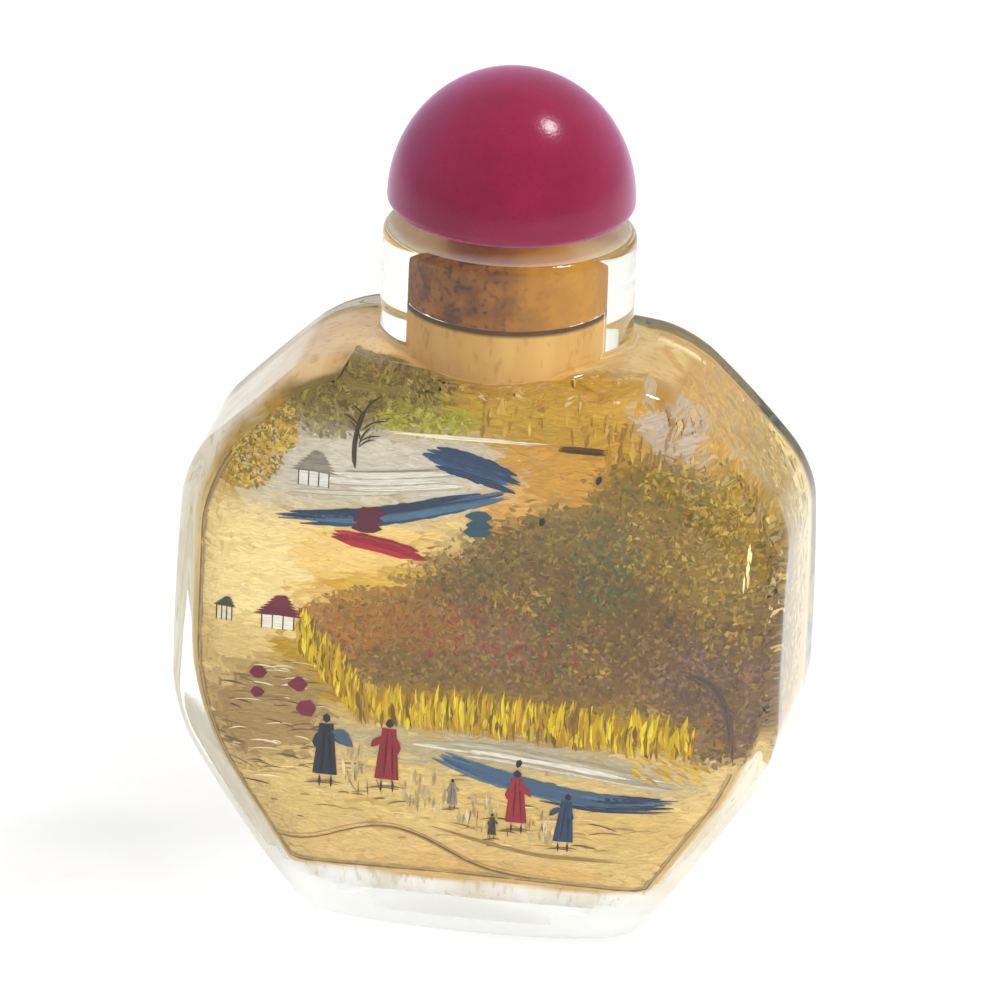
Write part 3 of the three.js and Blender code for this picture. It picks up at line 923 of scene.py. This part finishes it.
def paintFigure(canvas, x, z, tall, robe, dark, lean, reachOut):
    # a small robed figure: strokes that fan out from shoulders to hem, sleeves, a head and feet
    shoulder, hem, folds = 0.84, 0.1, 7
    fan = np.linspace(-1, 1, folds)[:, None] * tall
    rise = np.linspace(shoulder, hem, 6)[None, :]
    wide = 0.055 + 0.1 * (shoulder - rise)
    robePaths = np.stack([x + lean * tall * rise + fan * wide, z + tall * rise + fan * 0], -1)
    tints = np.array(linear(robe)) * random.uniform(0.8, 1.15, (folds, 1))
    brush(canvas, robePaths, tall * 0.085, tints, 0.13, taper=0, rough=0.05)
    brush(canvas, robePaths[[2, 5]] + [0, 0.02], tall * 0.03, linear(dark), 0.137)
    arms = [[x + reachOut * tall * 0.12, z + tall * 0.63], [x - reachOut * tall * 0.1, z + tall * 0.6]]
    sleeves = lines(arms, tall * 0.26, [-0.6 * reachOut, 1.2 * reachOut], 0.1)
    brush(canvas, sleeves, tall * 0.1, linear(robe), 0.14)
    head = lines([[x + lean * tall, z + tall * 0.92]], tall * 0.13, math.pi / 2)
    brush(canvas, head, tall * 0.11, linear("2e241f"), 0.145, taper=0.6)
    feet = lines([[x - tall * 0.07, z], [x + tall * 0.09, z + 0.02]], tall * 0.18, math.pi / 2, 0, 3)
    brush(canvas, feet, tall * 0.04, linear("3c2f26"), 0.13)
    ground = lines([[x + 0.2, z - 0.15], [x - 0.3, z - 0.3]], tall * 0.5, 0.03, 0.05)
    brush(canvas, ground, 0.12, linear("7b6244"), 0.12)


def paintTree(canvas, side, x, z, tall, lean, twigs):
    bark, lift = linear("4a3c30"), 0.1
    trunk = lines([[x, z + tall / 2]], tall, math.pi / 2 + lean, 0.08, 10)
    brush(canvas, trunk, tall * 0.09, bark, lift, side, taper=0.3)
    share = random.uniform(0.35, 1, twigs)
    foot = np.stack([x + (share - 0.5) * -lean * tall, z + share * tall], -1)
    way = random.choice([-1, 1], twigs)
    angle = math.pi / 2 - way * random.uniform(0.5, 1.2, twigs)
    length = tall * random.uniform(0.25, 0.5, twigs)
    centre = foot + np.stack([np.cos(angle), np.sin(angle)], -1) * length[:, None] / 2
    branches = lines(centre, length, angle, 0.12 * way, 6)
    brush(canvas, branches, tall * 0.03, bark, lift, side, taper=0.7)


def paintRoof(canvas, x, z, wide, colour, wall):
    # a small house: a pale wall, posts and a roof of short level strokes that narrows upwards
    rows = np.linspace(0, 1, 6)
    boards = lines(np.stack([x + rows * 0, z - 0.9 + rows * 0.9], -1), wide * 0.72, 0, 0, 3)
    brush(canvas, boards, 0.32, linear(wall), 0.1, taper=0)
    foot = np.linspace(-0.36, 0.36, 4) * wide + x
    posts = lines(np.stack([foot, foot * 0 + z - 0.5], -1), 1.3, math.pi / 2, 0, 3)
    brush(canvas, posts, 0.1, linear("4b3527"), 0.107, taper=0)
    rows = np.linspace(0, 1, 7)
    eaves = np.stack([x + rows * 0.25, z + 0.1 + rows * wide * 0.42], -1)
    eaves = lines(eaves, wide * (1.1 - 0.75 * rows), 0, 0.04)
    tints = np.array(linear(colour)) * (0.85 + 0.3 * random.random((7, 1)))
    brush(canvas, eaves, wide * 0.1, tints, 0.11, taper=0.3)


def paintWaterside(canvas):
    # the reeds, the river, the far banks, the dune's outlines and the things beside the path
    reedBank = [(-15, 24.4), (-12, 21.6), (-9.5, 18.6), (4, 18.4), (19, 17.6)]
    paintReeds(canvas, -1, reedBank, picture["reeds"])
    for course in waterCourses:
        paintCourse(canvas, *course)
    paintTree(canvas, -1, -10.4, 41, 5, -0.12, 9)
    paintCourse(canvas, *trunkCourse)
    # painted highlights: short cream strokes near the right edge, standing for glints of light on the
    # glass
    paintedGlints = np.stack([random.normal(22.7, 0.3, 6), random.normal(34.6, 1.4, 6)], -1)
    paintedGlints = lines(paintedGlints, random.uniform(0.8, 1.8, 6), math.pi / 2)
    brush(canvas, paintedGlints, 0.17, shade("f0e0a0 e0c870", 6), 0.1, taper=0.2)
    dryGround, path = (-16.5, 18, 5, 5, 0), (-2, 11.5, 17, 3.4, 0)
    pathLines = picture["groundLines"] - picture["dryLines"]
    at = np.concatenate([spotsIn(dryGround, picture["dryLines"]), spotsIn(path, pathLines)])
    length = random.uniform(0.6, 3, len(at))
    furrows = lines(at, length, random.normal(size=len(at)) * 0.12, 0.06)
    width = random.uniform(0.06, 0.16, len(at))
    brush(canvas, furrows, width, shade("8a6d42 b39257 6f5433 f0dcae", len(at)), 0.088)
    for course in duneCourses:
        paintCourse(canvas, *course)
    at = spotsIn((17, 16.6, 3.4, 1.2, 0), 40)
    brush(canvas, lines(at, 1.2, -0.5, 0.05), 0.24, shade("e0b92a c99a1c", len(at)), 0.094)
    stallColours = "8a7a66 b9ab98 6a5a48 ecdfc2 a0875f"
    paintDabs(canvas, -1, stalls, 110, stallColours, 0.1, (0.5, 1.5), frontAreas, 0.9)


def paintPeople(canvas):
    for roof in roofs:
        paintRoof(canvas, *roof)
    boats = lines([[-9.4, 36.6], [-9.2, 37.3], [-9.5, 35.9]], 2.6, 0.05, 0.05)
    brush(canvas, boats, 0.9, linear("5c1f2e"), 0.12, taper=0.3)
    paintCourse(canvas, *redCourse)
    boats = lines([[0, 37.9], [0.1, 37.1], [-0.1, 36.5]], 2.3, 0.0, 0.03)
    brush(canvas, boats, 0.9, shade("35606a 2c4f5c", 3), 0.12, taper=0.2)
    bales = [[-18.3, 22], [-18.3, 20.2], [-14.9, 21.3], [-14.1, 19.2]]
    bales = lines(bales, [1.5, 1.2, 1.7, 1.7], 0.1)
    brush(canvas, bales, [1.1, 0.9, 1.3, 1.4], shade("6e1f38 7a2440", 4), 0.12, taper=0.5)
    specks = lines([[5.4, 38], [10, 42], [4.3, 16.1]], 0.8, 1.2)
    brush(canvas, specks, 0.5, linear("2b2320"), 0.12)
    paintFigure(canvas, *figures[0])
    bundle = lines([[-11, 17], [-10.8, 16.5]], 1.8, -0.4, 0.1)
    brush(canvas, bundle, 0.8, linear("4a5a72"), 0.142)
    for figure in figures[1:]:
        paintFigure(canvas, *figure)
    # thin legs of stools, poles and baskets beside the figures
    at = np.concatenate([spotsIn((-7, 13, 3.2, 1.2, 0), 12), spotsIn((3.5, 10.2, 4, 1.1, 0), 12)])
    length = random.uniform(0.8, 1.8, len(at))
    legs = lines(at, length, math.pi / 2 + random.normal(size=len(at)) * 0.2, 0, 3)
    brush(canvas, legs, 0.09, linear("6a503a"), 0.126)


def paintFront():
    canvas = newCanvas()
    paintGround(canvas, -1, frontAreas, coat["ground"], picture["wash"], picture["fineWash"])
    dry(canvas, "front_ground_strokes")
    canvas = newCanvas()
    for ovals, count, colours, lift, size, blended, upright in frontDabs:
        areas = frontAreas if blended else None
        paintDabs(canvas, -1, ovals, count, colours, lift, size, areas, upright)
    dry(canvas, "front_tree_dabs")
    canvas = newCanvas()
    paintWaterside(canvas)
    dry(canvas, "front_river_and_reeds")
    canvas = newCanvas()
    paintPeople(canvas)
    dry(canvas, "front_figures_and_roofs")


def paintBack():
    canvas = newCanvas()
    paintGround(canvas, 1, backAreas, coat["backGround"], picture["wash"], picture["fineWash"] // 2)
    hills = picture["hillDabs"] // 2
    paintDabs(canvas, 1, backAreas[2:4], hills, hillColours, 0.055, (0.3, 0.8), backAreas)
    farBank = [(-20, 23.4), (-4, 23.8), (10, 23.2), (21, 23.6)]
    paintReeds(canvas, 1, farBank, picture["reeds"] // 2)
    paintReeds(canvas, 1, [(-15, 14.4), (-6, 15), (4, 14.2)], picture["reeds"] // 4)
    paintTree(canvas, 1, 13, 13, 16, 0.1, 16)
    crown = [(12, 28.5, 7.5, 3.2, 0), (15, 32, 5, 2.6, 0), (8.5, 31.5, 4, 2.2, 0)]
    crownColours = "3f4426 4f5a2c 6a6f34 36331f 8a8340"
    paintDabs(canvas, 1, crown, 1500, crownColours, 0.11, (0.4, 0.9))
    dry(canvas, "back_picture")


def paintOutline(side, name):
    # the thin dark line where the paint stops, down both sides and across the foot
    canvas = newCanvas()
    left, right = np.linspace(40, 5.4, 60), np.linspace(5.4, 16.5, 24)
    foot = 5.25 + 0.35 * np.sin(np.linspace(0, math.pi, 40))
    leftReach, footReach, rightReach = (halfWidth(z, 1) - 0.45 for z in (left, 5.25, right))
    footX = np.linspace(-footReach, footReach, len(foot) + 2)[1:-1]
    x, z = np.concatenate([-leftReach, footX, rightReach]), np.concatenate([left, foot, right])
    for offset, colour in ((0.0, "84705a"), (0.16, "b59a6e")):
        inwards = np.stack([x * (1 - offset / 24), z + offset * (z < 6)], -1)[None]
        brush(canvas, inwards, 0.14, linear(colour), 0.15, side, taper=0, rough=0.35)
    dry(canvas, name)


finishes = {addCoat(): "bottle_glass"}
paintFront()
paintBack()
paintOutline(-1, "outline_front")
paintOutline(1, "outline_back")


# floor, light and camera

table = {"size": 4000, "level": -0.1, "roughness": 0.9,
         "grain": {"Base": "f7f7f5", "Cloud": "f4f4f3", "Speck": "efefee",
                   "Cloud Size": 60.0, "Speck Size": 4.0, "Speck Amount": 0.2}}
studio = {
    "skyStrength": 0.6, "aim": (0, 0, 30),
    "lights": [  # name, place, size in mm, watts
        ("key", (620, -420, 560), 260, 4.2),
        ("overhead", (-300, -60, 850), 700, 2.3),
        ("highlight", (258, 18, 540), 85, 0.9),
    ],
}
view = {"turn": 9.08, "height": 20.58, "lean": 2.33, "distance": 1976, "focal": 838.8,
        "centre": (0, 0, 25.15), "aside": 0.458, "above": 9.78}


def makeStage():
    material, tree, shader = newMaterial("paleTable")
    grain = placeMottle(tree, objectSpace(tree), table["grain"])
    setInputs(tree, shader, {"Base Color": grain["Color"], "Roughness": table["roughness"]})
    corners = [[x * table["size"], y * table["size"], table["level"]]
               for x, y in ((-1, -1), (1, -1), (1, 1), (-1, 1))]
    floor = addMesh("floor", corners, [[0, 1, 2, 3]], material)


def makeLights():
    world = bpy.data.worlds.new("paleRoom")
    scene.world = world
    world.use_nodes = True
    setInputs(world.node_tree, world.node_tree.nodes["Background"],
              {"Color": (1, 1, 1, 1), "Strength": studio["skyStrength"]})
    for name, place, size, watts in studio["lights"]:
        light = bpy.data.lights.new(name, "AREA")
        light.shape, light.energy = "RECTANGLE", watts
        light.size = light.size_y = size * 0.001
        lamp = bpy.data.objects.new(name, light)
        scene.collection.objects.link(lamp)
        lamp.location = Vector(place) * 0.001
        lamp.visible_glossy = name == "highlight"  # the other two show in no reflection
        towards = Vector(studio["aim"]) * 0.001 - lamp.location
        lamp.rotation_euler = towards.to_track_quat("-Z", "Y").to_euler()


def makeCamera():
    turn, height, lean = (math.radians(view[key]) for key in ("turn", "height", "lean"))
    turned = Matrix.Rotation(turn, 4, "Z") @ Matrix.Rotation(math.pi / 2 - height, 4, "X")
    turned = turned @ Matrix.Rotation(lean, 4, "Z")
    place = Vector(view["centre"]) + turned @ Vector((view["aside"], view["above"], view["distance"]))
    camera = bpy.data.objects.new("camera", bpy.data.cameras.new("camera"))
    scene.collection.objects.link(camera)
    camera.data.lens, camera.data.sensor_width = view["focal"], 36
    camera.data.clip_start, camera.data.clip_end = 0.05, 20
    camera.matrix_world = Matrix.Translation(place * 0.001) @ turned
    scene.camera = camera


makeStage()
makeLights()
makeCamera()
print("floor, light and camera set")

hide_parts("bottle")
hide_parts("stopper_dome")
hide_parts("stopper_cork")
for piece in finishes:
    # the table stays light under the clear foot: of the paint, only the hill casts a shadow
    piece.visible_shadow = piece.name == "front_tree_dabs"
finishes.update({glassPiece: "bottle_glass", domePiece: "red_dome", corkPiece: "cork"})
for piece, slotName in finishes.items():
    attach(piece, "root")
